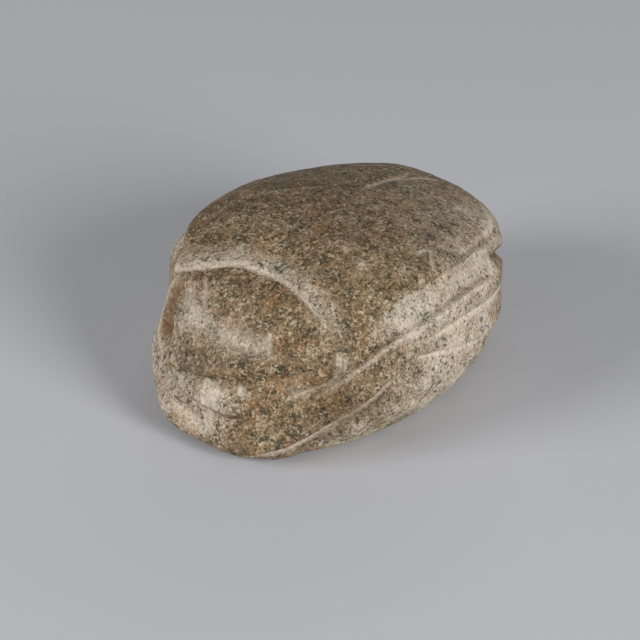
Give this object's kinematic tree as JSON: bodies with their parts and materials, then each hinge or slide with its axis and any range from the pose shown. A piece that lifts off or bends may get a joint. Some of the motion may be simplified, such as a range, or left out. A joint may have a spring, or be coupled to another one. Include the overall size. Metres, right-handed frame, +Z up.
{
  "type": "scarab amulet",
  "caption": "Domed beetle carved in the round from speckled stone, with folded legs cut in its flanks, lying on its flat oval underside.",
  "frame": {"origin": "centre of the footprint, on the surface that the flat underside rests on", "axes": "+Y from head to tail, +X to the beetle's left flank, +Z up through the crown"},
  "size_m": [0.049, 0.0702, 0.0285],
  "materials": {
    "granite": "worn, dull polish on the wing cases, chalky in the cuts"
  },
  "bodies": {
    "root": {"scarab": "granite"}
  },
  "joints": []
}
